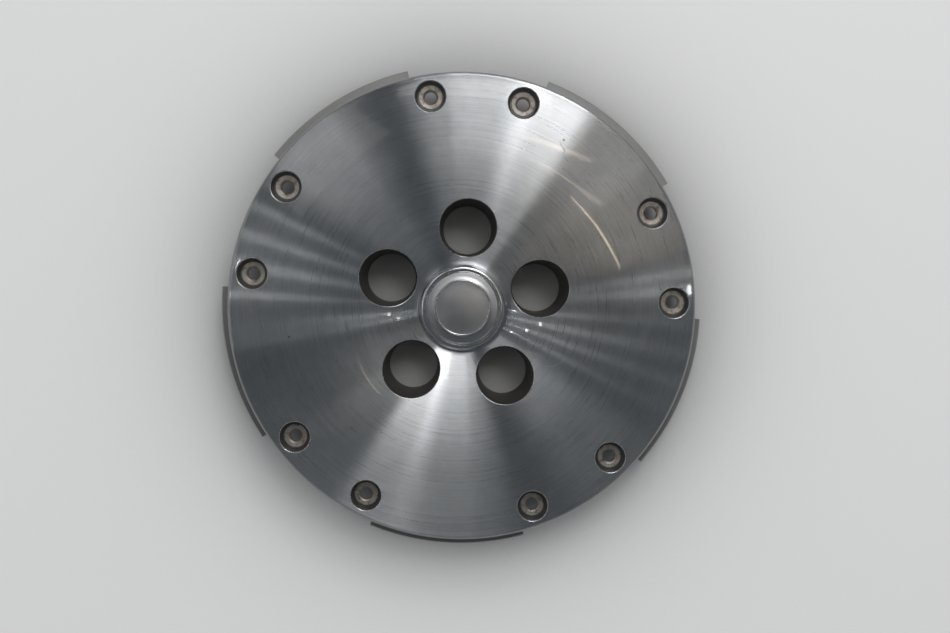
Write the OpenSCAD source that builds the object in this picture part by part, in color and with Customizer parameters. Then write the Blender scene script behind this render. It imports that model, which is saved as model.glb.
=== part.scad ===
// Bolt-on cover for the middle of a five-nut car wheel: a turned aluminium casting with ten bolt seats
// and a snap-in plug. It lies on the ends of its nut tubes, face up, with its axis along Z.

/* [Face] */
// Outer diameter of the turned face
face_d = 332; // [270:1:400]
// Distance from the face's edge in to its highest circle
crown_inset = 48; // [36:1:60]
// Fall of the face from its highest circle to its edge
crown_fall = 1.8; // [0.5:0.1:5]
// Depth of the bowl from the highest circle down to the plug's seat
bowl_depth = 17; // [8:0.5:21]
// Radius of the rounded edge of the face
edge_r = 3; // [1:0.5:5]
// Thickness of the face wall
face_t = 5; // [3.5:0.5:7]

/* [Rim wall and ledges] */
// Depth from the highest circle back to the rear of the rim wall
rim_depth = 31; // [24:1:38]
// Thickness of the rim wall
rim_t = 4.5; // [3:0.5:7]
// Draft of the rim wall in degrees
rim_draft = 2.5; // [1:0.5:5]
// Angle that each rear ledge covers
ledge_arc = 38; // [20:1:44]
// How far a ledge stands out past the edge of the face
ledge_proud = 9; // [4:0.5:14]
// Thickness of a ledge
ledge_t = 6; // [4:0.5:9]
// Step from the rear of the rim wall up to the rear of a ledge
ledge_step = 1; // [0.5:0.5:4]

/* [Nut tubes] */
// Number of wheel nuts
nut_count = 5; // [5:1:5]
// Diameter of the circle of wheel nuts
nut_pcd = 114.3; // [112:0.1:140]
// Diameter of a nut tube at its mouth in the face
nut_mouth_d = 40.8; // [32:0.1:44]
// Depth of a nut tube behind its mouth
nut_tube_l = 42; // [32:0.5:54]
// Draft of a nut tube in degrees
nut_draft = 3.3; // [1:0.1:4]
// Wall of a nut tube
nut_wall = 3.5; // [2.5:0.1:5]
// Width of the bright lip round a nut tube's mouth
nut_lip = 0.7; // [0.3:0.1:1.5]

/* [Bolt holes] */
// Distance from the face's edge in to the bolt circle
bolt_inset = 16; // [15:0.5:24]
// Half of the angle between the two bolts of a pair
bolt_half_angle = 12.6; // [9:0.1:18]
// Diameter of a counterbore at its mouth
cbore_d = 21.6; // [19:0.1:24]
// Depth of a counterbore
cbore_depth = 6; // [4:0.5:8]
// Draft of a counterbore's wall in degrees
cbore_draft = 14; // [2:1:15]
// Width of the bright lip round a counterbore's mouth
cbore_lip = 0.9; // [0.3:0.1:1.5]
// Wall of a bolt boss round its counterbore
boss_wall = 3.5; // [2.5:0.5:5]
// Depth from the highest circle back to the bosses' rear faces
boss_depth = 16; // [14.5:0.5:22]

/* [Bolt seats] */
// Outer diameter of a bolt seat
seat_d = 17; // [14:0.1:17.5]
// Height of a bolt seat
seat_h = 4; // [3:0.5:5]
// How far a bolt seat stands above the counterbore's floor
seat_proud = 0.6; // [0:0.1:1.5]
// Diameter of the bolt hole
bolt_hole_d = 8.5; // [6.5:0.1:10]
// Diameter of the countersink round the bolt hole
seat_sink_d = 10.8; // [10.4:0.1:12]
// Step that a bolt seat rests on, each side
seat_step = 2; // [1:0.5:2.5]

/* [Hub plug] */
// Bore of the casting that the plug snaps into
hub_bore_d = 56; // [50:0.5:68]
// Length of that bore
hub_bore_l = 14; // [12:0.5:18]
// Wall of the casting round that bore
hub_wall = 3.5; // [2.5:0.5:5]
// How far the plug's flange laps over the face, each side
plug_lap = 3.2; // [2:0.1:3.5]
// Height of the plug's flange above its seat
plug_h = 6.5; // [4:0.5:10]
// Width of the plug's sloping flank
plug_flank = 3.4; // [1.5:0.1:3.5]
// Wall of the plug
plug_t = 2.4; // [1.6:0.1:3]
// Height of the plug's dome above its flange
dome_h = 1.6; // [0.6:0.1:3]
// Radius from the axis to the middle of the plain round bead
bead_at = 19.5; // [14:0.5:21]
// Number of snap fingers
finger_count = 8; // [5:1:12]
// Width of the slot between two fingers
finger_slot = 4; // [2.5:0.5:6]
// How far a finger hooks out behind the bore
hook = 1; // [0.6:0.1:1.6]

/* [Wire ring] */
// Thickness of the wire
wire_d = 2; // [1.6:0.1:2.4]
// Angle left open between the wire's ends
wire_gap = 24; // [12:1:40]

/* [Ribs] */
// Thickness of a rib behind the face
rib_t = 4; // [3:0.5:6]
// Depth from the highest circle back to the ribs' rear edges
rib_depth = 19; // [14:0.5:24]
// How far the ribs to the bolt bosses stay short of the bosses' rear faces
boss_rib_step = 1.5; // [0.5:0.5:3]
// Draft of a rib's sides in degrees
rib_draft = 1.5; // [0.5:0.5:3]

/* [Fillets] */
// Fillet between the face wall and the rim wall
rim_fillet = 4; // [2:0.5:6]
// Fillet between the face wall and the hub ring
hub_fillet = 3.5; // [1:0.5:4]
// Fillet round the root of a nut tube
tube_fillet = 3; // [1.5:0.5:4]
// Fillet round the root of a bolt boss
boss_fillet = 2.5; // [1:0.5:3]
// Fillet along the root of a ledge
ledge_fillet = 1.5; // [0.5:0.5:2]
// Radius of the rim wall's rear edges
rear_r = 0.75; // [0.5:0.25:1.25]

/* [Hidden] */
$fn = 96;
bolt_count = 2 * nut_count;
pitch = 360 / nut_count;
sweep = 0.05;             // cuts run past a face by this much
slack = 0.05;             // clearance of what is pressed or snapped in, each side
face_r = face_d / 2;
crown_r = face_r - crown_inset;
nut_r = nut_pcd / 2;
bolt_r = face_r - bolt_inset;
plug_r = hub_bore_d / 2 + plug_lap;
hub_land_r = plug_r + 0.8;
skirt_r = hub_bore_d / 2 - 4 * slack;   // outside of the plug's fingers
wire_groove = 0.8;                      // depth of the wire's groove inside the fingers
wire_z = -hub_bore_l + 0.4;             // middle of the wire, below the plug's seat

// Heights above the nut tubes' ends, which the cover rests on
crown_z = nut_tube_l - face_fall(nut_r);
hub_z = crown_z - bowl_depth;
nut_mouth_z = crown_z + face_fall(nut_r);
rim_z = crown_z - rim_depth;
boss_z = crown_z - boss_depth;
cbore_z = crown_z + face_fall(bolt_r) - cbore_depth;

face_steps = 22;          // straight cuts that make the bowl
back_steps = 16;          // straight cuts that make the back of the face wall
edge_steps = 6;           // straight cuts that make the rounded edge
edge_break = 0.5;         // chamfer on the ends of tubes, bosses and the hub ring
ledge_root = rim_t / 2;   // how far a ledge reaches into the rim wall

function seat_name(i) = str("bolt_seat_", i < 10 ? "0" : "", i);

// Height of the turned face at radius r, below its highest circle: a bowl inside, a gentle fall outside
function face_fall(r) = r < crown_r
    ? -bowl_depth * pow((crown_r - max(r, hub_land_r)) / (crown_r - hub_land_r), 2)
    : -crown_fall * pow((r - crown_r) / crown_inset, 2);

// The two bolts of each pair stand evenly beside the direction of a nut
function bolt_angle(i) = 90 + pitch * floor((i - 1) / 2) + bolt_half_angle * (i % 2 == 1 ? -1 : 1);

// Height of a surface behind the face, and the slope of the bowl in degrees
function back_z(r, drop) = crown_z + face_fall(r) - drop;
function bowl_slope(r) = r < hub_land_r ? 0
    : atan(2 * bowl_depth * (crown_r - r) / pow(crown_r - hub_land_r, 2));

// Points of an arc in a section, from one angle to another
function arc(r, z, radius, start, end, steps) = [for (i = [0 : steps])
    let (a = start + (end - start) * i / steps) [r + radius * cos(a), z + radius * sin(a)]];

function rim_out(z) = face_r + (crown_z - crown_fall - edge_r - z) * tan(rim_draft);
function rim_in(z) = rim_out(z) - rim_t;

// Front line of the casting from the plug's seat out to the rounded edge
function front_line() = concat(
    [for (i = [0 : face_steps]) let (r = hub_land_r + (crown_r - hub_land_r) * i / face_steps)
        [r, crown_z + face_fall(r)]],
    [for (i = [1 : 4]) let (r = crown_r + (crown_inset - edge_r) * i / 4) [r, crown_z + face_fall(r)]],
    [for (i = [1 : edge_steps]) let (a = 90 - 90 * i / edge_steps, low = crown_z + face_fall(face_r - edge_r))
        [face_r - edge_r + edge_r * cos(a), low - edge_r + edge_r * sin(a)]]);

// The same line, dropped to another depth, from an outer radius in to an inner one
function back_line(drop, out_to, in_to) = [for (i = [back_steps : -1 : 0])
    let (r = in_to + (out_to - in_to) * i / back_steps) [r, back_z(r, drop)]];

module around_nuts() {
    for (k = [0 : nut_count - 1]) rotate([0, 0, 90 + pitch * k]) translate([nut_r, 0, 0]) children();
}

module around_bolts() {
    for (i = [1 : bolt_count]) rotate([0, 0, bolt_angle(i)]) translate([bolt_r, 0, 0]) children();
}

// Face, rim wall and hub ring, turned as one section with its fillets
module turned_shell() {
    bore_r = hub_bore_d / 2;
    hub_out = bore_r + hub_wall;
    hub_end = hub_z - hub_bore_l;
    hub_corner_r = hub_out + hub_fillet;
    hub_slope = bowl_slope(hub_corner_r);
    hub_corner_z = back_z(hub_corner_r, face_t) - hub_fillet / cos(hub_slope);
    rim_corner_z = back_z(face_r - rim_t - rim_fillet, face_t) - rim_fillet;
    rim_corner_r = rim_in(rim_corner_z) - rim_fillet;
    rear_z = rim_z + rear_r;
    last_cut = 75;        // the rim's fillet stops here, and the back line takes over
    rotate_extrude($fn = 180)
        polygon(concat(
            [[bore_r, hub_z - edge_break], [bore_r + edge_break, hub_z]],
            front_line(),
            arc(rim_out(rear_z) - rear_r, rear_z, rear_r, 0, -90, 3),
            arc(rim_in(rear_z) + rear_r, rear_z, rear_r, -90, -180, 3),
            arc(rim_corner_r, rim_corner_z, rim_fillet, 0, last_cut, 5),
            back_line(face_t, rim_corner_r, hub_corner_r),
            arc(hub_corner_r, hub_corner_z, hub_fillet, 90 + hub_slope, 180, 4),
            [[hub_out, hub_end + edge_break], [hub_out - edge_break, hub_end],
             [bore_r + edge_break, hub_end], [bore_r, hub_end + edge_break]]));
}

// All the room behind the middle of the face wall, which trims what stands behind the face
module behind_face() {
    reach = rim_out(rim_z) - rim_t / 2;
    rotate_extrude($fn = 180)
        polygon(concat([[hub_bore_d / 2, 0], [reach, 0]], back_line(face_t / 2, reach, hub_land_r),
                       [[hub_bore_d / 2, hub_z - face_t / 2]]));
}

// Nut tube, drafted towards its rear end, with a fillet that follows the slope of the bowl
module nut_tube() {
    end_r = nut_mouth_d / 2 - nut_mouth_z * tan(nut_draft) + nut_wall;
    root_z = nut_mouth_z - face_t;
    root_r = end_r + root_z * tan(nut_draft);
    slope = bowl_slope(nut_r);
    rotate_extrude()
        polygon([[0, 0], [end_r - edge_break, 0], [end_r, edge_break],
                 [end_r + crown_z * tan(nut_draft), crown_z], [0, crown_z]]);
    translate([-tube_fillet * sin(slope) / 2, 0, root_z])
        rotate([0, -slope, 0])
            rotate_extrude()
                polygon(concat([[0, 1], [0, -tube_fillet]],
                    arc(root_r + tube_fillet, -tube_fillet, tube_fillet, 180, 90, 3),
                    [[root_r + tube_fillet, 1]]));
}

// The way through a nut tube, with a lip that follows the slope of the bowl
module nut_hole() {
    top = crown_z + sweep;
    end_r = nut_mouth_d / 2 - nut_mouth_z * tan(nut_draft);
    slope = bowl_slope(nut_r);
    lip_low = 3;
    lip_high = 8;
    lip_r = nut_mouth_d / 2 + nut_lip;
    translate([0, 0, -sweep])
        cylinder(h = top + sweep, r1 = end_r - sweep * tan(nut_draft), r2 = end_r + top * tan(nut_draft));
    translate([0, 0, nut_mouth_z])
        rotate([0, -slope, 0])
            translate([0, 0, -lip_low])
                cylinder(h = lip_low + lip_high, r1 = lip_r - lip_low, r2 = lip_r + lip_high);
}

// Boss behind a counterbore, drafted towards its machined rear face
module bolt_boss() {
    boss_r = cbore_d / 2 + boss_wall;
    draft_in = 1;         // how much narrower the boss is at its rear face
    root_z = back_z(bolt_r, face_t);
    rotate_extrude()
        polygon(concat(
            [[0, boss_z], [boss_r - draft_in - edge_break, boss_z], [boss_r - draft_in, boss_z + edge_break]],
            arc(boss_r + boss_fillet, root_z - boss_fillet, boss_fillet, 180, 90, 3),
            [[boss_r + boss_fillet, crown_z], [0, crown_z]]));
}

// Counterbore, pocket for the bolt seat, and the clearance hole behind it
module bolt_hole() {
    mouth_z = cbore_z + cbore_depth;
    lip_low = 3;
    lip_high = 4;
    over = cbore_depth + lip_high;
    lip_r = cbore_d / 2 + cbore_lip;
    floor_r = cbore_d / 2 - cbore_depth * tan(cbore_draft);
    translate([0, 0, cbore_z])
        cylinder(h = over, r1 = floor_r, r2 = floor_r + over * tan(cbore_draft));
    translate([0, 0, mouth_z - lip_low])
        cylinder(h = lip_low + lip_high, r1 = lip_r - lip_low, r2 = lip_r + lip_high);
    translate([0, 0, cbore_z + seat_proud - seat_h])
        cylinder(h = seat_h, d = seat_d);
    translate([0, 0, boss_z - sweep])
        cylinder(h = cbore_z - boss_z, d = seat_d - 2 * seat_step);
}

// Rib from one point behind the face to another, both given as radius and angle: a drafted bar with
// a rounded rear edge, whose front the middle of the face wall trims
module rib(r1, a1, r2, a2, depth) {
    p = [r1 * cos(a1), r1 * sin(a1)];
    q = [r2 * cos(a2), r2 * sin(a2)];
    d = q - p;
    half = rib_t / 2;
    root = half + depth * tan(rib_draft);
    round_r = half / 2;
    translate([p[0], p[1], crown_z - depth])
        rotate([0, 0, atan2(d[1], d[0])])
            rotate([90, 0, 90])
                linear_extrude(norm(d))
                    polygon(concat(
                        [[root, depth], [-root, depth]],
                        arc(round_r - half, round_r, round_r, 180, 270, 3),
                        arc(half - round_r, round_r, round_r, 270, 360, 3)));
}

module ribs() {
    for (i = [1 : bolt_count])
        rib(nut_r, 90 + pitch * floor((i - 1) / 2), bolt_r, bolt_angle(i), boss_depth - boss_rib_step);
    for (k = [0 : nut_count - 1])
        rib(hub_bore_d / 2 + hub_wall / 2, 90 + pitch * (k + 0.5),
            rim_in(rim_z), 90 + pitch * (k + 0.5), rib_depth);
}

// Rear ledge that locates the cover in the wheel, with radial ends
module ledges() {
    chamfer = 0.8;
    low = rim_z + ledge_step;
    high = low + ledge_t;
    tip = face_r + ledge_proud;
    root = rim_out(low) - ledge_root;
    for (k = [0 : nut_count - 1])
        rotate([0, 0, 90 + pitch * (k + 0.5) - ledge_arc / 2])
            rotate_extrude(angle = ledge_arc, $fn = 180)
                polygon(concat(
                    [[root, low], [tip - chamfer, low], [tip, low + chamfer],
                     [tip, high - chamfer], [tip - chamfer, high]],
                    arc(rim_out(high + ledge_fillet) + ledge_fillet - sweep, high + ledge_fillet,
                        ledge_fillet, 270, 180, 3),
                    [[root, high + ledge_fillet]]));
}

module cover_casting() {
    color([0.66, 0.67, 0.68])
    difference() {
        union() {
            turned_shell();
            ledges();
            intersection() {
                union() {
                    around_nuts() nut_tube();
                    around_bolts() bolt_boss();
                    ribs();
                }
                behind_face();
            }
        }
        around_nuts() nut_hole();
        around_bolts() bolt_hole();
        translate([0, 0, hub_z - hub_bore_l - sweep])
            cylinder(h = hub_bore_l, d = hub_bore_d);
    }
}

// Pressed-in steel ring that the bolt's head bears on, slightly dished towards its countersink
module bolt_seat(i) {
    base = cbore_z + seat_proud - seat_h;
    out_r = seat_d / 2 - slack;
    corner = 0.4;
    dish = 0.4;
    sink_h = (seat_sink_d - bolt_hole_d) / 2;
    color([0.52, 0.48, 0.43])
    rotate([0, 0, bolt_angle(i)])
        translate([bolt_r, 0, base])
            rotate_extrude()
                polygon([[bolt_hole_d / 2, 0], [out_r, 0], [out_r, seat_h - corner],
                         [out_r - corner, seat_h], [seat_sink_d / 2, seat_h - dish],
                         [bolt_hole_d / 2, seat_h - dish - sink_h]]);
}

// Flange, groove and dome of the plug with its skirt, hollow behind
module plug_body() {
    top_r = plug_r - plug_flank;
    dome_r = hub_bore_d / 2 - plug_t - 0.6;
    foot = 0.3;             // share of the flange's height below its rounded flank
    flank_steps = 5;
    crest_w = 0.6;          // the flange's flat crest
    land_z = plug_h - 0.5;  // flat land between the crest and the groove
    groove_z = plug_h - 1.4;
    groove_side = 0.3;
    groove_w = 0.5;
    dome_steps = 8;
    in_r = skirt_r - plug_t;
    skirt_z = -hub_bore_l - 2 * hook - 1;
    hook_z = -hub_bore_l - 2 * slack;
    hook_rise = 0.7;        // height of the hook's slope that draws it against the bore
    lead_in = 1.4;          // height of the slope that guides a finger in
    roof_z = plug_h - plug_t;
    rotate_extrude()
        polygon(concat(
            [[skirt_r, skirt_z], [skirt_r + hook * 0.4, skirt_z], [skirt_r + hook, skirt_z + lead_in],
             [skirt_r + hook, hook_z - hook_rise], [skirt_r, hook_z], [skirt_r, 0],
             [plug_r, 0], [plug_r, plug_h * foot]],
            [for (i = [1 : flank_steps]) let (a = 90 * i / flank_steps)
                [top_r + plug_flank * cos(a), plug_h * (foot + (1 - foot) * sin(a))]],
            [[top_r - crest_w, plug_h], [top_r - crest_w - 0.4, land_z],
             [dome_r + groove_w + 2 * groove_side, land_z], [dome_r + groove_w + groove_side, groove_z],
             [dome_r + groove_side, groove_z]],
            [for (i = [0 : dome_steps]) let (s = 1 - i / dome_steps) [dome_r * s, dome_z(dome_r * s)]],
            [[0, roof_z], [in_r - plug_t, roof_z - 1], [in_r, roof_z - 3],
             [in_r, wire_z + wire_d / 2 + wire_groove],
             [in_r + wire_groove, wire_z + wire_d / 2],
             [in_r + wire_groove, wire_z - wire_d / 2],
             [in_r, wire_z - wire_d / 2 - wire_groove], [in_r, skirt_z]]));
}

// Height of the dome above the plug's seat at radius r
function dome_z(r) = plug_h - 0.4 + dome_h * (1 - pow(r / (hub_bore_d / 2 - plug_t - 0.6), 2));

module hub_plug() {
    slot_top = -3;          // the slots between the fingers stop this far below the seat
    slot_low = -hub_bore_l - 10;
    bead_r = 0.8;
    color([0.82, 0.83, 0.85])
    translate([0, 0, hub_z])
    union() {
        difference() {
            plug_body();
            for (k = [0 : finger_count - 1])
                rotate([0, 0, 360 / finger_count * k])
                    translate([0, -finger_slot / 2, slot_low])
                        cube([plug_r, finger_slot, slot_top - slot_low]);
        }
        rotate_extrude()
            translate([bead_at, dome_z(bead_at)])
                circle(r = bead_r, $fn = 16);
    }
}

// Split ring of spring wire that holds the fingers out
module plug_wire_ring() {
    ring_r = skirt_r - plug_t + wire_groove - slack - wire_d / 2;
    color([0.55, 0.55, 0.56])
    translate([0, 0, hub_z + wire_z])
        rotate([0, 0, 90 + wire_gap / 2])
            rotate_extrude(angle = 360 - wire_gap)
                translate([ring_r, 0])
                    circle(d = wire_d, $fn = 24);
}

cover_casting();
for (i = [1 : 10]) bolt_seat(i);
hub_plug();
plug_wire_ring();
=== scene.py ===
from math import atan2, cos, hypot, pi, radians, sin, tan

import bmesh
import bpy
from mathutils import Matrix, Vector


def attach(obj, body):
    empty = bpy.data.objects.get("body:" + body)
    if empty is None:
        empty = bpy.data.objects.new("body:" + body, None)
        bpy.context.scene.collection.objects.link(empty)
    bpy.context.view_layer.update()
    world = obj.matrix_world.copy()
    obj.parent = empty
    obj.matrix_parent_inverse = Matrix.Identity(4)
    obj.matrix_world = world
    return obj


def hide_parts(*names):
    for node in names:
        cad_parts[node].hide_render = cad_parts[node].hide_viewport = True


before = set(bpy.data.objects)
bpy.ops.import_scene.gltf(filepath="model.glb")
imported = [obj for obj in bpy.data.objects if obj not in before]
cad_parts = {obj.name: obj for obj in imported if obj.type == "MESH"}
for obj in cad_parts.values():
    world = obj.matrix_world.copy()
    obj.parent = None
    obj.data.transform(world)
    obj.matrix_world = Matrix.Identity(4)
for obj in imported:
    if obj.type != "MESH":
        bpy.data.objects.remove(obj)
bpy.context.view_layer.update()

# Cover casting. One aluminium casting: its face and the outside of its rim are turned on a lathe,
# the face is clear coated, and the nut tubes, bolt bosses, ribs and ledges behind stay as cast.
mm = 0.001
face_r = 166.0
crown_inset = 48.0
crown_r = face_r - crown_inset
crown_fall = 1.8
bowl_depth = 17.0
edge_r = 3.0
face_t = 5.0
land_r = 32.0

rim_depth = 31.0
rim_t = 4.5
rim_draft = radians(2.5)
ledge_arc = radians(38)
ledge_r = face_r + 8.97
ledge_t = 6.0
ledge_step = 1.0

nut_r = 57.15
nut_mouth_r = 20.4
nut_tube_l = 42.0
nut_draft = radians(3.3)
nut_wall = 3.5

bolt_r = face_r - 16.0
bolt_half_angle = 12.6
cbore_r = 10.8
cbore_depth = 6.0
cbore_draft = radians(14)
boss_wall = 3.5
boss_depth = 16.0
seat_r = 8.5
seat_h = 4.0
seat_proud = 0.6
bolt_way_r = 6.5

hub_bore_r = 28.0
hub_bore_l = 14.0
hub_wall = 3.5
rib_t = 4.0
rib_depth = 19.0
boss_rib_step = 1.5
rib_draft = radians(1.5)

nut_angles = [90 + 72 * k for k in range(5)]
bolt_angles = [a + side * bolt_half_angle for a in nut_angles for side in (-1, 1)]
rib_angles = [a + 36 for a in nut_angles]

crown_z = nut_tube_l + bowl_depth * ((crown_r - nut_r) / (crown_r - land_r)) ** 2
hub_z = crown_z - bowl_depth


def face_height(r):
    """Height of the turned face at radius r: a bowl inside the crown, a gentle fall outside it."""
    if r < crown_r:
        return crown_z - bowl_depth * ((crown_r - max(r, land_r)) / (crown_r - land_r)) ** 2
    return crown_z - crown_fall * ((r - crown_r) / crown_inset) ** 2


def face_normal(x, y):
    """The turned face's own normal, so that its reflections run on unbroken round the holes."""
    r = hypot(x, y)
    edge_start = face_r - edge_r
    if r < land_r:
        out, up = 0.0, 1.0
    elif r < crown_r:
        out, up = -2 * bowl_depth * (crown_r - r) / (crown_r - land_r) ** 2, 1.0
    elif r < edge_start:
        out, up = 2 * crown_fall * (r - crown_r) / crown_inset ** 2, 1.0
    else:
        out = min((r - edge_start) / edge_r, 1.0)
        up = max(1 - out ** 2, 0.0) ** 0.5
    return Vector((out * x / r, out * y / r, up)).normalized()


def arc(centre_r, centre_z, radius, start, end, steps):
    """Points of an arc in a section, from one angle to another in degrees."""
    angles = [radians(start + (end - start) * i / steps) for i in range(steps + 1)]
    return [(centre_r + radius * cos(a), centre_z + radius * sin(a)) for a in angles]


def turned(section, steps, closed=False):
    """A section of radius and height points, turned once round Z. An open one ends on the axis."""
    form = bmesh.new()
    points = [form.verts.new((r, 0, z)) for r, z in section]
    pairs = list(zip(points, points[1:])) + ([(points[-1], points[0])] if closed else [])
    lines = [form.edges.new(pair) for pair in pairs]
    bmesh.ops.spin(form, geom=points + lines, cent=(0, 0, 0), axis=(0, 0, 1), angle=2 * pi,
                   steps=steps, use_merge=True)
    bmesh.ops.remove_doubles(form, verts=form.verts, dist=0.0005)
    bmesh.ops.recalc_face_normals(form, faces=form.faces)
    return form


def follow_face(form, at_r, at_z, above):
    """Lets what lies above a height rise and fall with the face round a point at radius at_r."""
    for v in form.verts:
        if v.co.z > above:
            v.co.z += face_height(hypot(at_r + v.co.x, v.co.y)) - at_z


# The casting's finishes, by their place in its list
FACE, LIP, CAST, TUBE, CBORE, RIM = range(6)


def paint(form, pick):
    """Gives each face of a form the finish that pick names from its middle."""
    for face in form.faces:
        face.material_index = pick(face.calc_center_median())


def solid(form, name, finishes, scale=1.0):
    """A form as an object, with its finishes."""
    mesh = bpy.data.meshes.new(name)
    if scale != 1.0:
        bmesh.ops.scale(form, vec=(scale,) * 3, verts=form.verts)
    form.to_mesh(mesh)
    form.free()
    for finish in finishes:
        mesh.materials.append(finish)
    piece = bpy.data.objects.new(name, mesh)
    bpy.context.scene.collection.objects.link(piece)
    return piece


def placed(piece, angle, radius):
    """A copy of a tool form, stood at a radius and angle round the axis."""
    copy = bpy.data.objects.new(piece.name + "_set", piece.data)
    copy.matrix_world = Matrix.Rotation(radians(angle), 4, "Z") @ Matrix.Translation((radius, 0, 0))
    bpy.context.scene.collection.objects.link(copy)
    return copy


def combine(base, tools, operation):
    """Joins the tools to the base, or cuts them from it, and then drops them."""
    group = bpy.data.collections.new("tools")
    bpy.context.scene.collection.children.link(group)
    for tool in tools:
        group.objects.link(tool)
    step = base.modifiers.new("combine", "BOOLEAN")
    step.operation, step.solver = operation, "MANIFOLD"
    step.operand_type, step.collection = "COLLECTION", group
    bpy.context.view_layer.update()
    done = bpy.data.meshes.new_from_object(base.evaluated_get(bpy.context.evaluated_depsgraph_get()))
    base.modifiers.clear()
    base.data = done
    for tool in tools:
        bpy.data.objects.remove(tool)
    bpy.data.collections.remove(group)


def material(name):
    """A new node material, its node tree and its shader."""
    made = bpy.data.materials.new(name)
    made.use_nodes = True
    return made, made.node_tree, made.node_tree.nodes["Principled BSDF"]


def node(tree, kind, links=(), **values):
    """A node of a kind, with its settings, plain inputs and links."""
    made = tree.nodes.new("ShaderNode" + kind)
    for key, value in values.items():
        if hasattr(made, key):
            setattr(made, key, value)
        else:
            made.inputs[key.replace("_", " ")].default_value = value
    for socket, source in links:
        tree.links.new(source, made.inputs[socket])
    return made


def tinted(tree, shader, noise, low, high, colour):
    """A base colour that a noise makes darker and lighter between two shares."""
    tone = node(tree, "MapRange", [("Value", noise.outputs["Fac"])], To_Min=low, To_Max=high)
    tint = node(tree, "VectorMath", [("Scale", tone.outputs[0])], operation="SCALE")
    tint.inputs[0].default_value = colour
    tree.links.new(tint.outputs[0], shader.inputs["Base Color"])


def glossed(tree, shader, noise, low, high):
    """A roughness that a noise moves between two values."""
    gloss = node(tree, "MapRange", [("Value", noise.outputs["Fac"])], To_Min=low, To_Max=high)
    tree.links.new(gloss.outputs[0], shader.inputs["Roughness"])


def pitted(tree, shader, noise, strength, depth):
    """Fine relief from a noise, its depth in metres."""
    relief = node(tree, "Bump", [("Height", noise.outputs["Fac"])], Strength=strength, Distance=depth)
    tree.links.new(relief.outputs[0], shader.inputs["Normal"])


def smoothed(piece, sharp_angle):
    """Smooth shading, broken at edges sharper than an angle in degrees."""
    piece.data.polygons.foreach_set("use_smooth", [True] * len(piece.data.polygons))
    piece.data.set_sharp_from_angle(angle=radians(sharp_angle))


# Turned face: fine circular tool marks under a glossy clear coat, so the metal's gloss stretches along
# the radius while the coat mirrors the lamps sharply
turned_face, tree, shader = material("turned_face")
place = node(tree, "TexCoord").outputs["Object"]
across = node(tree, "VectorMath", [(0, place)], operation="MULTIPLY")
across.inputs[1].default_value = (1, 1, 0)
radius = node(tree, "VectorMath", [(0, across.outputs[0])], operation="LENGTH").outputs["Value"]
along = node(tree, "VectorMath", [(0, across.outputs[0])], operation="NORMALIZE").outputs[0]


def faded(value, low, high, at_low=0.0, at_high=1.0):
    """A value turned into a smooth share between two limits."""
    return node(tree, "MapRange", [("Value", value)], interpolation_type="SMOOTHSTEP", From_Min=low,
                From_Max=high, To_Min=at_low, To_Max=at_high).outputs[0]


def sums(operation, first, second):
    """Two values, or a value and a number, put through one operation."""
    made = node(tree, "Math", [(0, first)], operation=operation)
    if isinstance(second, float):
        made.inputs[1].default_value = second
    else:
        tree.links.new(second, made.inputs[1])
    return made.outputs[0]


def far_from(x, y):
    """Distance from a point of the face, in metres."""
    made = node(tree, "VectorMath", [(0, across.outputs[0])], operation="DISTANCE")
    made.inputs[1].default_value = (x * mm, y * mm, 0)
    return made.outputs["Value"]


drift = node(tree, "VectorMath", [(0, place)], operation="MULTIPLY")
drift.inputs[1].default_value = (0.03, 0.03, 0)
out_line = node(tree, "CombineXYZ", [("X", radius)])
mark_place = node(tree, "VectorMath", [(0, out_line.outputs[0]), (1, drift.outputs[0])],
                  operation="ADD").outputs[0]
marks = node(tree, "TexNoise", [("Vector", mark_place)], Scale=950.0, Detail=3.0,
             Roughness=0.6).outputs["Fac"]
feed = node(tree, "TexNoise", [("W", radius)], noise_dimensions="1D", Scale=900.0, Detail=4.0,
            Roughness=0.75).outputs["Fac"]
cloud = node(tree, "TexNoise", [("Vector", place)], Scale=26.0, Detail=5.0, Roughness=0.65).outputs["Fac"]
smear = node(tree, "TexNoise", [("Vector", place)], Scale=140.0, Detail=4.0, Roughness=0.6).outputs["Fac"]

# One scuff with a dark spot, one curved scratch and one dark speck, where the photo shows them
scuff_at = (63.3 * mm, 114.3 * mm, 0)
scuff_turn = (0, 0, radians(24))
scuff_sway = 0.012
scuff_spot_at = (62.6, 122.8)
scratch_centre = (63, -24)
scratch_r = 13.5 * mm
speck_at = (-120.5, -28.5)
scuff_place = node(tree, "Mapping", [("Vector", across.outputs[0])], vector_type="TEXTURE",
                   Location=scuff_at, Rotation=scuff_turn)
bend = node(tree, "TexNoise", [("Vector", scuff_place.outputs[0])], Scale=170.0,
            Detail=3.0).outputs["Fac"]
sway = sums("MULTIPLY", sums("SUBTRACT", bend, 0.5), scuff_sway)
scuff_split = node(tree, "SeparateXYZ", [("Vector", scuff_place.outputs[0])])
scuff_off = sums("ABSOLUTE", sums("ADD", scuff_split.outputs["X"], sway), 0.0)
scuff_end = sums("ABSOLUTE", scuff_split.outputs["Y"], 0.0)
scuff = sums("MULTIPLY", faded(scuff_off, 0.3 * mm, 0.9 * mm, 1.0, 0.0),
             faded(scuff_end, 6.0 * mm, 9.5 * mm, 1.0, 0.0))
scuff = sums("MULTIPLY", scuff, faded(smear, 0.38, 0.55))
scuff = sums("MAXIMUM", scuff, faded(far_from(*scuff_spot_at), 0.6 * mm, 1.2 * mm, 1.0, 0.0))
scratch_off = sums("ABSOLUTE", sums("SUBTRACT", far_from(*scratch_centre), scratch_r), 0.0)
below = node(tree, "SeparateXYZ", [("Vector", across.outputs[0])]).outputs["Y"]
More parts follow.
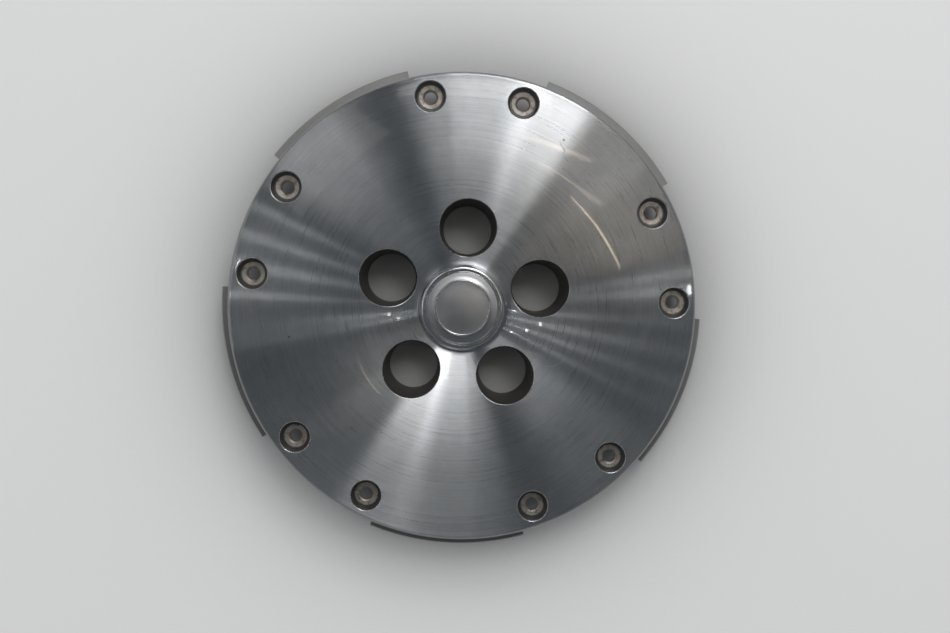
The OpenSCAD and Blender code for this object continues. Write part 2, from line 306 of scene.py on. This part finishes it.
scratch = sums("MULTIPLY", faded(scratch_off, 0.2 * mm, 0.5 * mm, 1.0, 0.0),
               faded(below, -28.0 * mm, -23.0 * mm, 1.0, 0.0))
scratch = sums("MULTIPLY", scratch, faded(smear, 0.40, 0.52))
speck = faded(far_from(*speck_at), 0.6 * mm, 1.0 * mm, 1.0, 0.0)

tone = sums("MULTIPLY", faded(cloud, 0.30, 0.70, 0.90, 1.07), faded(marks, 0.32, 0.68, 0.93, 1.06))
tone = sums("MULTIPLY", tone, faded(feed, 0.30, 0.70, 0.97, 1.025))
tone = sums("MULTIPLY", tone, faded(smear, 0.35, 0.65, 0.98, 1.02))
marred = sums("SUBTRACT", faded(scuff, 0.0, 1.0, 1.0, 0.42), sums("MULTIPLY", speck, 0.7))
tone = sums("MULTIPLY", tone, marred)
tone = sums("ADD", tone, sums("MULTIPLY", scratch, 0.22))
colour = node(tree, "VectorMath", [("Scale", tone)], operation="SCALE")
colour.inputs[0].default_value = (0.69, 0.705, 0.72)
gloss = sums("ADD", faded(marks, 0.3, 0.7, 0.27, 0.32), sums("MULTIPLY", scuff, 0.2))
cut = node(tree, "Bump", [("Height", marks)], Strength=0.12, Distance=0.00015)
tree.links.new(colour.outputs[0], shader.inputs["Base Color"])
tree.links.new(gloss, shader.inputs["Roughness"])
tree.links.new(cut.outputs[0], shader.inputs["Normal"])
tree.links.new(along, shader.inputs["Tangent"])
shader.inputs["Metallic"].default_value = 1.0
shader.inputs["Anisotropic"].default_value = 0.97
shader.inputs["Coat Weight"].default_value = 1.0
shader.inputs["Coat Roughness"].default_value = 0.03
shader.inputs["Coat IOR"].default_value = 1.95

# The grooves' own sharper gloss, mixed in, which draws the narrow rays of the small lamps. This node
# stretches its gloss across the tangent, so a stretch along the radius takes a negative anisotropy.
groove_share = 0.65
grooves = node(tree, "BsdfAnisotropic", [("Color", colour.outputs[0]), ("Tangent", along)],
               Roughness=0.22, Anisotropy=-0.86)
both = node(tree, "MixShader", [(1, shader.outputs[0]), (2, grooves.outputs[0])], Fac=groove_share)
tree.links.new(both.outputs[0], tree.nodes["Material Output"].inputs["Surface"])

# Bright lip where the turned face breaks into a hole
bright_lip, tree, shader = material("bright_lip")
place = node(tree, "TexCoord").outputs["Object"]
nicks = node(tree, "TexNoise", [("Vector", place)], Scale=400.0, Detail=3.0)
glossed(tree, shader, nicks, 0.16, 0.36)
pitted(tree, shader, nicks, 0.5, 0.0002)
shader.inputs["Base Color"].default_value = (0.86, 0.87, 0.88, 1)
shader.inputs["Metallic"].default_value = 1.0
shader.inputs["Coat Weight"].default_value = 0.5

# As-cast aluminium of the rim's inside, the ledges and the back
as_cast, tree, shader = material("as_cast")
place = node(tree, "TexCoord").outputs["Object"]
grain = node(tree, "TexNoise", [("Vector", place)], Scale=1100.0, Detail=4.0, Roughness=0.65)
cloud = node(tree, "TexNoise", [("Vector", place)], Scale=45.0, Detail=5.0, Roughness=0.6)
tinted(tree, shader, cloud, 0.80, 1.10, (0.44, 0.435, 0.425))
glossed(tree, shader, grain, 0.42, 0.68)
pitted(tree, shader, grain, 0.5, 0.00025)
shader.inputs["Metallic"].default_value = 0.85

# Walls of the nut tubes, the same cast metal as the back; their colour is darkened to paint the shade deep
# inside the tubes
tube_wall_painted_shade, tree, shader = material("tube_wall_painted_shade")
place = node(tree, "TexCoord").outputs["Object"]
grain = node(tree, "TexNoise", [("Vector", place)], Scale=900.0, Detail=3.0)
cloud = node(tree, "TexNoise", [("Vector", place)], Scale=60.0, Detail=5.0, Roughness=0.6)
tinted(tree, shader, cloud, 0.75, 1.15, (0.155, 0.145, 0.13))
pitted(tree, shader, grain, 0.4, 0.0002)
shader.inputs["Metallic"].default_value = 0.6
shader.inputs["Roughness"].default_value = 0.5

# Walls of the counterbores, their colour darkened to paint the shade inside them
cbore_wall_painted_shade, tree, shader = material("cbore_wall_painted_shade")
place = node(tree, "TexCoord").outputs["Object"]
cloud = node(tree, "TexNoise", [("Vector", place)], Scale=160.0, Detail=4.0, Roughness=0.6)
tinted(tree, shader, cloud, 0.75, 1.15, (0.24, 0.245, 0.25))
shader.inputs["Metallic"].default_value = 0.9
shader.inputs["Roughness"].default_value = 0.4

# Rounded edge and outside of the rim wall, machined smooth; its colour is darkened to paint the shade and
# the dark reflection along the edge
rim_wall_painted_shade, tree, shader = material("rim_wall_painted_shade")
place = node(tree, "TexCoord").outputs["Object"]
cloud = node(tree, "TexNoise", [("Vector", place)], Scale=90.0, Detail=5.0, Roughness=0.6)
grain = node(tree, "TexNoise", [("Vector", place)], Scale=900.0, Detail=3.0)
tinted(tree, shader, cloud, 0.75, 1.20, (0.30, 0.305, 0.31))
glossed(tree, shader, cloud, 0.22, 0.38)
pitted(tree, shader, grain, 0.25, 0.0001)
shader.inputs["Metallic"].default_value = 0.9

casting_finishes = [turned_face, bright_lip, as_cast, tube_wall_painted_shade, cbore_wall_painted_shade, rim_wall_painted_shade]

# Face, rim wall and hub ring, turned as one section
edge_z = face_height(face_r - edge_r) - edge_r
rim_z = crown_z - rim_depth
rim_rear_r = face_r + (edge_z - rim_z) * tan(rim_draft)
rim_lean = 0.24           # how far the wall's inside leans out by the time it meets its fillet
rim_front_in = face_r - rim_t + rim_lean
rim_fillet = 4.0
hub_fillet = 3.5
rear_r = 0.75
edge_break = 0.5
hub_out = hub_bore_r + hub_wall
hub_end = hub_z - hub_bore_l
edge_share = 0.82         # the face's finish ends at this share of the rounded edge's height
face_skin = 0.6           # what lies less than this below the face has its finish
front = [(land_r + (crown_r - land_r) * i / 34, 0) for i in range(35)]
front += [(crown_r + (crown_inset - edge_r) * i / 12, 0) for i in range(1, 12)]
front = [(r, face_height(r)) for r, _ in front]
back_out = rim_front_in - rim_fillet
back_in = hub_out + hub_fillet
back = [back_out + (back_in - back_out) * i / 30 for i in range(31)]
back = [(r, face_height(r) - face_t) for r in back]
section = (
    [(hub_bore_r, hub_end + edge_break), (hub_bore_r, hub_z - edge_break), (hub_bore_r + edge_break, hub_z)]
    + front
    + arc(face_r - edge_r, edge_z, edge_r, 90, 0, 6)
    + [(face_r + (rim_rear_r - face_r) * t, edge_z + (rim_z + rear_r - edge_z) * t)
       for t in (0.25, 0.5, 0.75)]
    + arc(rim_rear_r - rear_r, rim_z + rear_r, rear_r, 0, -90, 4)
    + arc(rim_rear_r - rim_t + rear_r, rim_z + rear_r, rear_r, -90, -180, 4)
    + arc(rim_front_in - rim_fillet, back[0][1] - rim_fillet, rim_fillet, 0, 90, 5)[:-1]
    + back
    + arc(back_in, back[-1][1] - hub_fillet, hub_fillet, 110, 180, 4)
    + [(hub_out, hub_end + edge_break), (hub_out - edge_break, hub_end), (hub_bore_r + edge_break, hub_end)]
)
shell = turned(section, 360, closed=True)


def shell_finish(p):
    """The face's finish on the front, the rim's round its outside, and the cast one behind."""
    r = hypot(p.x, p.y)
    if r > face_r - edge_r:
        if p.z > edge_z + edge_r * edge_share:
            return FACE
        return RIM if r > face_r - 1 and p.z > rim_z + edge_break else CAST
    return FACE if r > hub_bore_r + 0.4 and p.z > face_height(r) - face_skin else CAST


paint(shell, shell_finish)
casting = solid(shell, "cover_casting_fine", casting_finishes)

# Nut tubes, bosses, ribs and ledges, which all run into the face wall
mid_wall = face_t / 2
tube_end_r = nut_mouth_r - nut_tube_l * tan(nut_draft) + nut_wall
tube_root = nut_tube_l - face_t
root_fillet = 3.0
tube_spread = 6.4         # how much wider the tube is where it ends inside the face wall
tube_slant_z = tube_root - root_fillet - 4
tube = turned(
    [(0, 0), (tube_end_r - edge_break, 0), (tube_end_r, edge_break)]
    + [(tube_end_r + z * tan(nut_draft), z) for z in (10, 20, 28)]
    + arc(tube_end_r + (tube_root - root_fillet) * tan(nut_draft) + root_fillet,
          tube_root - root_fillet, root_fillet, 180, 95, 5)
    + [(tube_end_r + tube_spread, nut_tube_l - mid_wall), (tube_end_r * 0.5, nut_tube_l - mid_wall),
       (0, nut_tube_l - mid_wall)], 96)
follow_face(tube, nut_r, nut_tube_l, tube_slant_z)
paint(tube, lambda p: CAST)
tube = solid(tube, "tube", casting_finishes)

boss_z = crown_z - boss_depth
boss_top = face_height(bolt_r)
boss_r = cbore_r + boss_wall
boss_draft = 1.0          # how much narrower the boss is at its rear face
boss_fillet = 2.5
boss_root_r = boss_r - 0.3
boss_root_z = boss_top - face_t - boss_fillet
boss_reach = face_r - 2   # the boss stays inside the rim wall
boss_slant_z = boss_top - face_t - 3.5
boss = turned(
    [(0, boss_z), (boss_r - boss_draft - edge_break, boss_z), (boss_r - boss_draft, boss_z + edge_break),
     (boss_root_r, boss_root_z)]
    + arc(boss_root_r + boss_fillet, boss_root_z, boss_fillet, 180, 95, 4)
    + [(boss_root_r + boss_fillet, boss_top - mid_wall), (0, boss_top - mid_wall)], 72)
for v in boss.verts:
    reach = hypot(bolt_r + v.co.x, v.co.y)
    if reach > boss_reach:
        v.co.x -= reach - boss_reach
follow_face(boss, bolt_r, boss_top, boss_slant_z)
paint(boss, lambda p: CAST)
boss = solid(boss, "boss", casting_finishes)


def rib(start, end, depth):
    """A drafted rib behind the face between two points, its rear edge rounded."""
    form = bmesh.new()
    bmesh.ops.create_cube(form, size=1)
    length = (end - start).length
    lengthwise = [e for e in form.edges if abs(e.verts[0].co.x - e.verts[1].co.x) > 0.5]
    bmesh.ops.subdivide_edges(form, edges=lengthwise, cuts=15, use_grid_fill=True)

    # The cuts leave only the lengthwise edges short, and those behind are the ones to round
    rear = [e for e in form.edges
            if e.calc_length() < 0.3 and e.verts[0].co.z < 0 and e.verts[1].co.z < 0]
    low, tall = crown_z - depth, depth - face_t
    bmesh.ops.scale(form, vec=(length, rib_t, tall), verts=form.verts)
    bmesh.ops.bevel(form, geom=rear, offset=rib_t / 4, segments=3, profile=0.5, affect="EDGES",
                    material=-1)
    turn = Matrix.Rotation(atan2(end.y - start.y, end.x - start.x), 4, "Z")
    shift = Matrix.Translation(((start.x + end.x) / 2, (start.y + end.y) / 2, 0))
    for v in form.verts:
        v.co.y *= 1 + (v.co.z + tall / 2) * tan(rib_draft) * 2 / rib_t
    bmesh.ops.transform(form, matrix=shift @ turn, verts=form.verts)
    for v in form.verts:
        top = face_height(hypot(v.co.x, v.co.y)) - mid_wall
        v.co.z = top if v.co.z > tall / 2 - 0.1 else low + v.co.z + tall / 2
    paint(form, lambda p: CAST)
    bmesh.ops.recalc_face_normals(form, faces=form.faces)
    return solid(form, "rib", casting_finishes)


def at(radius, angle):
    """A point behind the face by its radius and angle."""
    return Vector((radius * cos(radians(angle)), radius * sin(radians(angle))))


boss_rib_depth = boss_depth - boss_rib_step
ribs = [rib(at(nut_r, a), at(bolt_r, a + side * bolt_half_angle), boss_rib_depth)
        for a in nut_angles for side in (-1, 1)]
rim_rib_start, rim_rib_end = 42.0, rim_rear_r - rim_t / 2 - 1.2
ribs += [rib(at(rim_rib_start, a), at(rim_rib_end, a), rib_depth) for a in rib_angles]

ledge_z = rim_z + ledge_step
rim_at_ledge = face_r + (edge_z - ledge_z - ledge_t) * tan(rim_draft)
ledge_root_r = rim_rear_r - rim_t / 2
ledge_top = ledge_z + ledge_t
ledge_break = 0.8
ledge_fillet = 1.5
ledge_form = bmesh.new()
ledge_line = (
    [(ledge_root_r, ledge_z), (ledge_r - ledge_break, ledge_z), (ledge_r, ledge_z + ledge_break),
     (ledge_r, ledge_top - ledge_break), (ledge_r - ledge_break, ledge_top)]
    + arc(rim_at_ledge + ledge_fillet, ledge_top + ledge_fillet, ledge_fillet, 270, 180, 4)
    + [(ledge_root_r, ledge_top + ledge_fillet)]
)
points = [ledge_form.verts.new((r * cos(-ledge_arc / 2), r * sin(-ledge_arc / 2), z))
          for r, z in ledge_line]
lines = [ledge_form.edges.new(pair) for pair in zip(points, points[1:] + points[:1])]
bmesh.ops.spin(ledge_form, geom=points + lines, cent=(0, 0, 0), axis=(0, 0, 1), angle=ledge_arc,
               steps=38)
bmesh.ops.holes_fill(ledge_form, edges=[e for e in ledge_form.edges if e.is_boundary], sides=0)
bmesh.ops.recalc_face_normals(ledge_form, faces=ledge_form.faces)
paint(ledge_form, lambda p: CAST)
ledge = solid(ledge_form, "ledge", casting_finishes)

joined = [placed(tube, a, nut_r) for a in nut_angles]
joined += [placed(boss, a, bolt_r) for a in bolt_angles]
joined += [placed(ledge, a, 0) for a in rib_angles]
combine(casting, joined + ribs, "UNION")

# The ways through: nut holes, and counterbores with a pocket for each bolt seat
lip = 0.75
lip_turn = 110            # the lips' arcs end at this angle, where they leave the face
lip_rise = 0.82
past = 2.0                # how far a tool runs on past the edge of its lip
tool_top = nut_tube_l + 9
wall_top = nut_tube_l - lip
mouth_slant_z = 33.0
tube_in_break = 0.4
tube_in_r = nut_mouth_r - nut_tube_l * tan(nut_draft)
nut_way = turned(
    [(0, -1), (tube_in_r + tube_in_break, -1), (tube_in_r + tube_in_break, 0)]
    + [(tube_in_r + z * tan(nut_draft), z) for z in (0.5, 10, 20, 28, 34, 38)]
    + arc(nut_mouth_r + lip, nut_tube_l - lip * sin(radians(lip_turn)), lip, 180, lip_turn, 4)
    + [(nut_mouth_r + lip + past, nut_tube_l + lip_rise), (nut_mouth_r + lip + past, tool_top),
       (0, tool_top)], 128)
paint(nut_way, lambda p: LIP if p.z > wall_top else TUBE)
follow_face(nut_way, nut_r, nut_tube_l, mouth_slant_z)
nut_way = solid(nut_way, "nut_way", casting_finishes)

cbore_z = boss_top - cbore_depth
cbore_lip = 0.9
cbore_lip_rise = 0.8
cbore_lip_start = 2.0
cbore_slant_z = boss_top - 3
cbore_corner = 0.15
seat_joint = 0.2          # width of the fine groove round each seat
cbore_floor_r = cbore_r - cbore_depth * tan(cbore_draft)
cbore_out = cbore_r + cbore_lip + past
seat_base = cbore_z + seat_proud - seat_h
bolt_way = turned(
    [(0, boss_z - 1), (bolt_way_r, boss_z - 1), (bolt_way_r, seat_base),
     (seat_r, seat_base), (seat_r, cbore_z - 0.25), (seat_r + seat_joint, cbore_z - 0.05),
     (cbore_floor_r - cbore_corner, cbore_z), (cbore_floor_r, cbore_z + cbore_corner),
     (cbore_floor_r + (cbore_depth - cbore_lip_start) * tan(cbore_draft), boss_top - cbore_lip_start)]
    + arc(cbore_r + cbore_lip, boss_top - cbore_lip * sin(radians(lip_turn)), cbore_lip, 180,
          lip_turn, 4)
    + [(cbore_out, boss_top + cbore_lip_rise), (cbore_out, boss_top + 4), (0, boss_top + 4)], 72)
paint(bolt_way,
      lambda p: LIP if p.z > boss_top - cbore_lip else CBORE if p.z > cbore_z - 1 else CAST)
follow_face(bolt_way, bolt_r, boss_top, cbore_slant_z)
bolt_way = solid(bolt_way, "bolt_way", casting_finishes)

combine(casting, [placed(nut_way, a, nut_r) for a in nut_angles]
        + [placed(bolt_way, a, bolt_r) for a in bolt_angles], "DIFFERENCE")
for tool in (tube, boss, ledge, nut_way, bolt_way):
    bpy.data.objects.remove(tool)

mesh = casting.data
smoothed(casting, 32)
normals = [Vector((0, 0, 0))] * len(mesh.loops)
for polygon in mesh.polygons:
    if polygon.material_index == FACE:
        for i in polygon.loop_indices:
            normals[i] = face_normal(*mesh.vertices[mesh.loops[i].vertex_index].co[:2])
mesh.transform(Matrix.Scale(mm, 4))
mesh.normals_split_custom_set(normals)
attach(casting, "root")
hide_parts("cover_casting")

# Bolt seats. Ten turned steel rings, pressed into the counterbores, that the bolts' heads bear on.
# Bare steel, dulled and browned by the weather.
seat_steel, tree, shader = material("seat_steel")
place = node(tree, "TexCoord").outputs["Object"]
cloud = node(tree, "TexNoise", [("Vector", place)], Scale=330.0, Detail=5.0, Roughness=0.65)
rust = node(tree, "ValToRGB", [("Fac", cloud.outputs["Fac"])])
rust.color_ramp.elements[0].position = 0.30
rust.color_ramp.elements[0].color = (0.15, 0.105, 0.07, 1)
rust.color_ramp.elements[1].position = 0.44
rust.color_ramp.elements[1].color = (0.52, 0.47, 0.41, 1)
worn = rust.color_ramp.elements.new(0.70)
worn.color = (0.68, 0.63, 0.56, 1)
glossed(tree, shader, cloud, 0.60, 0.40)
pitted(tree, shader, cloud, 0.4, 0.0002)
tree.links.new(rust.outputs[0], shader.inputs["Base Color"])
shader.inputs["Metallic"].default_value = 0.9

bolt_hole_r = 4.25
sink_r = 5.4
press = 0.05              # clearance round what is pressed in
dish = 0.4
seat_top = seat_base + seat_h
seat_out_r = seat_r - press
seat_break = 0.3
seat_corner = 0.4
for number, angle in enumerate(bolt_angles, 1):
    form = turned(
        [(bolt_hole_r, seat_base), (seat_out_r - seat_break, seat_base),
         (seat_out_r, seat_base + seat_break), (seat_out_r, seat_top - seat_corner)]
        + arc(seat_out_r - seat_corner, seat_top - seat_corner, seat_corner, 45, 90, 2)
        + [(seat_out_r - 1.0, seat_top - 0.06), (sink_r + 0.9, seat_top - dish),
           (sink_r + 0.35, seat_top - dish + 0.08), (sink_r, seat_top - dish),
           (bolt_hole_r, seat_top - dish - sink_r + bolt_hole_r)], 72, closed=True)
    stood = Matrix.Rotation(radians(angle), 4, "Z") @ Matrix.Translation((bolt_r, 0, 0))
    bmesh.ops.transform(form, matrix=stood, verts=form.verts)
    seat = solid(form, f"bolt_seat_{number:02d}_fine", [seat_steel], scale=mm)
    smoothed(seat, 35)
    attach(seat, "root")
    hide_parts(f"bolt_seat_{number:02d}")

# Hub plug. One bright-plated plastic moulding with a rounded flange, a groove, a plain satin dome
# with a round bead, and eight snap fingers that hook behind the hub bore.
plating, tree, shader = material("plating")
place = node(tree, "TexCoord").outputs["Object"]
film = node(tree, "TexNoise", [("Vector", place)], Scale=120.0, Detail=4.0, Roughness=0.6)
glossed(tree, shader, film, 0.10, 0.26)
tinted(tree, shader, film, 0.92, 1.04, (0.83, 0.84, 0.86))
pitted(tree, shader, film, 0.12, 0.0003)
shader.inputs["Metallic"].default_value = 1.0

satin_dome, tree, shader = material("satin_dome")
place = node(tree, "TexCoord").outputs["Object"]
film = node(tree, "TexNoise", [("Vector", place)], Scale=70.0, Detail=5.0, Roughness=0.65)
glossed(tree, shader, film, 0.27, 0.40)
tinted(tree, shader, film, 0.82, 1.12, (0.68, 0.68, 0.685))
shader.inputs["Metallic"].default_value = 1.0

plug_r = hub_bore_r + 3.2
plug_h = 6.5
plug_flank = 3.4
plug_t = 2.4
dome_h = 1.6
bead_at = 19.5
bead_r = 0.8
hook = 1.0
skirt_r = hub_bore_r - 0.2
skirt_z = -hub_bore_l - 2 * hook - 1
groove_r = hub_bore_r - plug_t
top_r = plug_r - plug_flank
wire_r = 1.0
wire_z = -hub_bore_l + 0.4
wire_groove = 0.8
groove_floor = plug_h - 1.4
dome_r = groove_r - 0.6
dome_sink = 0.4           # how far the dome's rim lies below the flange's top
foot = 0.3                # share of the flange's height below its rounded flank
flank_turns = [radians(90 * i / 10) for i in range(1, 11)]
in_r = skirt_r - plug_t
roof_z = plug_h - plug_t


def dome_height(r):
    """Height of the plug's dome above its seat at radius r."""
    return plug_h - dome_sink + dome_h * (1 - (r / dome_r) ** 2)


bead = [(bead_at + bead_r * cos(radians(a)), dome_height(bead_at) + bead_r * sin(radians(a)))
        for a in (20, 45, 70, 90, 110, 135, 160)]
plug_section = (
    [(0, roof_z), (in_r - plug_t, roof_z - 1), (in_r, roof_z - 3),
     (in_r, wire_z + wire_r + wire_groove), (in_r + wire_groove, wire_z + wire_r),
     (in_r + wire_groove, wire_z - wire_r), (in_r, wire_z - wire_r - wire_groove),
     (in_r, skirt_z), (skirt_r + 0.4, skirt_z), (skirt_r + hook, skirt_z + 1.4),
     (skirt_r + hook, -hub_bore_l - 0.8), (skirt_r, -hub_bore_l - 0.1), (skirt_r, 0), (plug_r - 0.3, 0),
     (plug_r, 0.3), (plug_r, plug_h * foot)]
    + [(top_r + plug_flank * cos(a), plug_h * (foot + (1 - foot) * sin(a))) for a in flank_turns]
    + [(top_r - 0.6, plug_h - 0.03), (top_r - 0.85, plug_h - 0.2), (top_r - 1, plug_h - 0.5),
       (groove_r + 0.5, plug_h - 0.5), (groove_r + 0.3, plug_h - 0.7), (groove_r + 0.2, groove_floor),
       (groove_r - 0.3, groove_floor), (dome_r + 0.12, plug_h - 0.6)]
    + [(dome_r * s, dome_height(dome_r * s)) for s in (1.0, 0.96, 0.92, 0.88)]
    + bead
    + [(dome_r * s, dome_height(dome_r * s)) for s in (0.66, 0.55, 0.42, 0.28, 0.14, 0.0)]
)
form = turned([(r, hub_z + z) for r, z in plug_section], 144)
for face in form.faces:
    middle = face.calc_center_median()
    reach = hypot(middle.x, middle.y)
    on_dome = middle.z > hub_z + plug_h - 0.45 and reach < dome_r and abs(reach - bead_at) > bead_r
    face.material_index = 1 if on_dome else 0
plug = solid(form, "hub_plug_fine", [plating, satin_dome])

# Each slot runs right across, so four of them part the skirt into eight fingers
finger_slot = 4.0
slot_top = -3.0
slot_tall = 20.0
slots = []
for k in range(4):
    form = bmesh.new()
    bmesh.ops.create_cube(form, size=1)
    bmesh.ops.scale(form, vec=(2 * plug_r + 4, finger_slot, slot_tall), verts=form.verts)
    crossed = (Matrix.Rotation(radians(45 * k), 4, "Z")
               @ Matrix.Translation((0, 0, hub_z + slot_top - slot_tall / 2)))
    bmesh.ops.transform(form, matrix=crossed, verts=form.verts)
    slots.append(solid(form, "slot", [plating]))
combine(plug, slots, "DIFFERENCE")
smoothed(plug, 28)
plug.data.transform(Matrix.Scale(mm, 4))
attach(plug, "root")
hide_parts("hub_plug")

# Wire ring. A split ring of drawn spring wire that sits in a groove inside the plug's fingers and
# holds them out.
spring_wire, tree, shader = material("spring_wire")
place = node(tree, "TexCoord").outputs["Object"]
cloud = node(tree, "TexNoise", [("Vector", place)], Scale=300.0, Detail=4.0)
tinted(tree, shader, cloud, 0.75, 1.1, (0.42, 0.42, 0.43))
glossed(tree, shader, cloud, 0.5, 0.3)
shader.inputs["Metallic"].default_value = 1.0

wire_gap = radians(24)
wire_ring_r = in_r + wire_groove - press - wire_r
form = bmesh.new()
bmesh.ops.create_circle(form, cap_ends=True, radius=wire_r, segments=20)
bmesh.ops.rotate(form, cent=(0, 0, 0), matrix=Matrix.Rotation(pi / 2, 3, "X"), verts=form.verts)
bmesh.ops.translate(form, vec=(wire_ring_r, 0, hub_z + wire_z), verts=form.verts)
bmesh.ops.rotate(form, cent=(0, 0, 0), matrix=Matrix.Rotation(pi / 2 + wire_gap / 2, 3, "Z"),
                 verts=form.verts)
bmesh.ops.spin(form, geom=form.verts[:] + form.edges[:] + form.faces[:], cent=(0, 0, 0),
               axis=(0, 0, 1), angle=2 * pi - wire_gap, steps=112)
bmesh.ops.remove_doubles(form, verts=form.verts, dist=0.0005)
bmesh.ops.recalc_face_normals(form, faces=form.faces)
wire = solid(form, "plug_wire_ring_fine", [spring_wire], scale=mm)
smoothed(wire, 35)
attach(wire, "root")
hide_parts("plug_wire_ring")

# The studio. A plain pale floor that turns up far away, soft window-like lamps, and the camera
# at the photograph's angle. The cover lies on its tubes' ends, and the camera looks down on it.
floor_paint, tree, shader = material("floor_paint")
shader.inputs["Base Color"].default_value = (0.74, 0.74, 0.73, 1)
shader.inputs["Roughness"].default_value = 0.8
path = node(tree, "LightPath")
seen = node(tree, "Math", [(0, path.outputs["Is Camera Ray"]), (1, path.outputs["Is Glossy Ray"])],
            operation="MAXIMUM")
seen = node(tree, "Math", [(0, seen.outputs[0]), (1, path.outputs["Is Transmission Ray"])],
            operation="MAXIMUM")
# The floor's lift is painted brightness for camera, mirror and transmission rays; ambient occlusion fades
# it, which paints the shadow under and beside the cover and the shade seen down its holes
shade_power = 3.6         # how strongly the floor's lift fades under and beside the cover
floor_lift = 0.45
open_sky = node(tree, "AmbientOcclusion", samples=8, Distance=0.5)
open_sky = node(tree, "Math", [(0, open_sky.outputs["AO"])], operation="POWER")
open_sky.inputs[1].default_value = shade_power
lift = node(tree, "Math", [(0, seen.outputs[0]), (1, open_sky.outputs[0])], operation="MULTIPLY")
lift = node(tree, "Math", [(0, lift.outputs[0])], operation="MULTIPLY")
lift.inputs[1].default_value = floor_lift
tree.links.new(lift.outputs[0], shader.inputs["Emission Strength"])
shader.inputs["Emission Color"].default_value = (1, 1, 1, 1)
floor_r = 3.0             # the flat floor ends here and turns up in a quarter circle
floor_turn_r = 1.0
floor_z = -0.0001         # just below the tubes' ends
floor_line = [(0, floor_z), (floor_r, floor_z)]
floor_line += arc(floor_r, floor_z + floor_turn_r, floor_turn_r, -80, 0, 8)
form = turned(floor_line, 64)
bmesh.ops.reverse_faces(form, faces=[f for f in form.faces if f.normal.z < 0])
floor = solid(form, "floor", [floor_paint])
floor.data.polygons.foreach_set("use_smooth", [True] * len(floor.data.polygons))

world = bpy.data.worlds.new("studio")
world.use_nodes = True
world.node_tree.nodes["Background"].inputs["Color"].default_value = (0.066, 0.072, 0.077, 1)
bpy.context.scene.world = world


def panel(name, tilt, azimuth, tall, wide, watts, distance=1.5, beam=180.0, aim=(0, 0, 0)):
    """A soft rectangular lamp that faces the cover, by its angle from the axis and round it."""
    lamp = bpy.data.lights.new(name, "AREA")
    lamp.shape = "RECTANGLE"
    lamp.size, lamp.size_y = wide * distance, tall * distance
    lamp.energy = watts
    lamp.spread = radians(beam)
    stand = bpy.data.objects.new(name, lamp)
    t, a = radians(tilt), radians(azimuth)
    stand.location = Vector((sin(t) * cos(a), sin(t) * sin(a), cos(t))) * distance
    stand.rotation_mode = "QUATERNION"
    stand.rotation_quaternion = (Vector(aim) - stand.location).to_track_quat("-Z", "Y")
    bpy.context.scene.collection.objects.link(stand)


panel("window_core", 29.0, 89.0, 0.29, 0.30, 1.1)
panel("window_high", 46.0, 85.0, 0.18, 0.30, 1.3)
panel("window_bright", 38.0, 68.0, 0.50, 0.20, 2.65)
panel("window_right", 30.0, 50.0, 0.12, 0.24, 0.25)
panel("window_left", 29.0, 139.0, 0.50, 0.215, 0.50)
panel("strip_right", 22.0, 32.0, 0.30, 0.20, 0.08)
panel("strip_left", 50.0, 178.5, 0.06, 0.503, 0.4)
panel("beam_right", 22.0, 24.0, 0.30, 0.32, 0.0016, beam=20.0, aim=(0.125, 0.055, 0.04))

# Small square lamps, which show as dots in the coat: tilt, azimuth and watts of each
spot_size = 0.018
spots = [(26.9, 4.1, 0.05), (30.4, 9.0, 0.045), (35.1, 183.8, 0.07),
         (33.0, 160.5, 0.055), (27.7, 168.8, 0.055), (23.1, 177.4, 0.06)]
for number, (tilt, azimuth, watts) in enumerate(spots, 1):
    panel(f"spot_{number}", tilt, azimuth, spot_size, spot_size, watts)

# Three thin warm strips, which show as arcs in the coat: the ends in millimetres and the watts of each.
# A narrow beam, aimed at the near side of the face, weakens their second mirror image in the bowl.
strip_z = 2.0
strip_wide = 0.028
strip_beam = radians(12)
aim_r, aim_z = 0.112, 0.05
strips = [((394, 50), (195, 126), 0.0008), ((407, 256), (135, 302), 0.0004),
          ((422, 451), (162, 466), 0.0005)]
for number, (start, end, watts) in enumerate(strips, 1):
    lamp = bpy.data.lights.new(f"warm_strip_{number}", "AREA")
    lamp.shape = "RECTANGLE"
    lamp.size, lamp.size_y = hypot(start[0] - end[0], start[1] - end[1]) * mm, strip_wide
    lamp.energy, lamp.color, lamp.spread = watts, (1.0, 0.82, 0.60), strip_beam
    stand = bpy.data.objects.new(lamp.name, lamp)
    middle = Vector(((start[0] + end[0]) / 2 * mm, (start[1] + end[1]) / 2 * mm, 0))
    stand.location = middle + Vector((0, 0, strip_z))
    back = (stand.location - middle.normalized() * aim_r - Vector((0, 0, aim_z))).normalized()
    up = back.cross(Vector((end[0] - start[0], end[1] - start[1], 0))).normalized()
    stand.rotation_mode = "QUATERNION"
    stand.rotation_quaternion = Matrix((up.cross(back), up, back)).transposed().to_quaternion()
    bpy.context.scene.collection.objects.link(stand)

# The camera, fitted to the holes and the outline in the photograph
camera_data = bpy.data.cameras.new("camera")
camera_data.lens, camera_data.sensor_width = 36.0, 36.0
camera_data.clip_start, camera_data.clip_end = 0.05, 50.0
camera = bpy.data.objects.new("camera", camera_data)
turn = (Matrix.Rotation(radians(2.72), 3, "X") @ Matrix.Rotation(radians(1.27), 3, "Y")
        @ Matrix.Rotation(radians(-3.98), 3, "Z"))
stand_off = Vector((0.0087, -0.00581, 0.671))
camera.rotation_mode = "QUATERNION"
camera.rotation_quaternion = turn.transposed().to_quaternion()
camera.location = turn.transposed() @ stand_off + Vector((0, 0, boss_top * mm))
bpy.context.scene.collection.objects.link(camera)
bpy.context.scene.camera = camera

bpy.context.scene.view_settings.view_transform = "Standard"
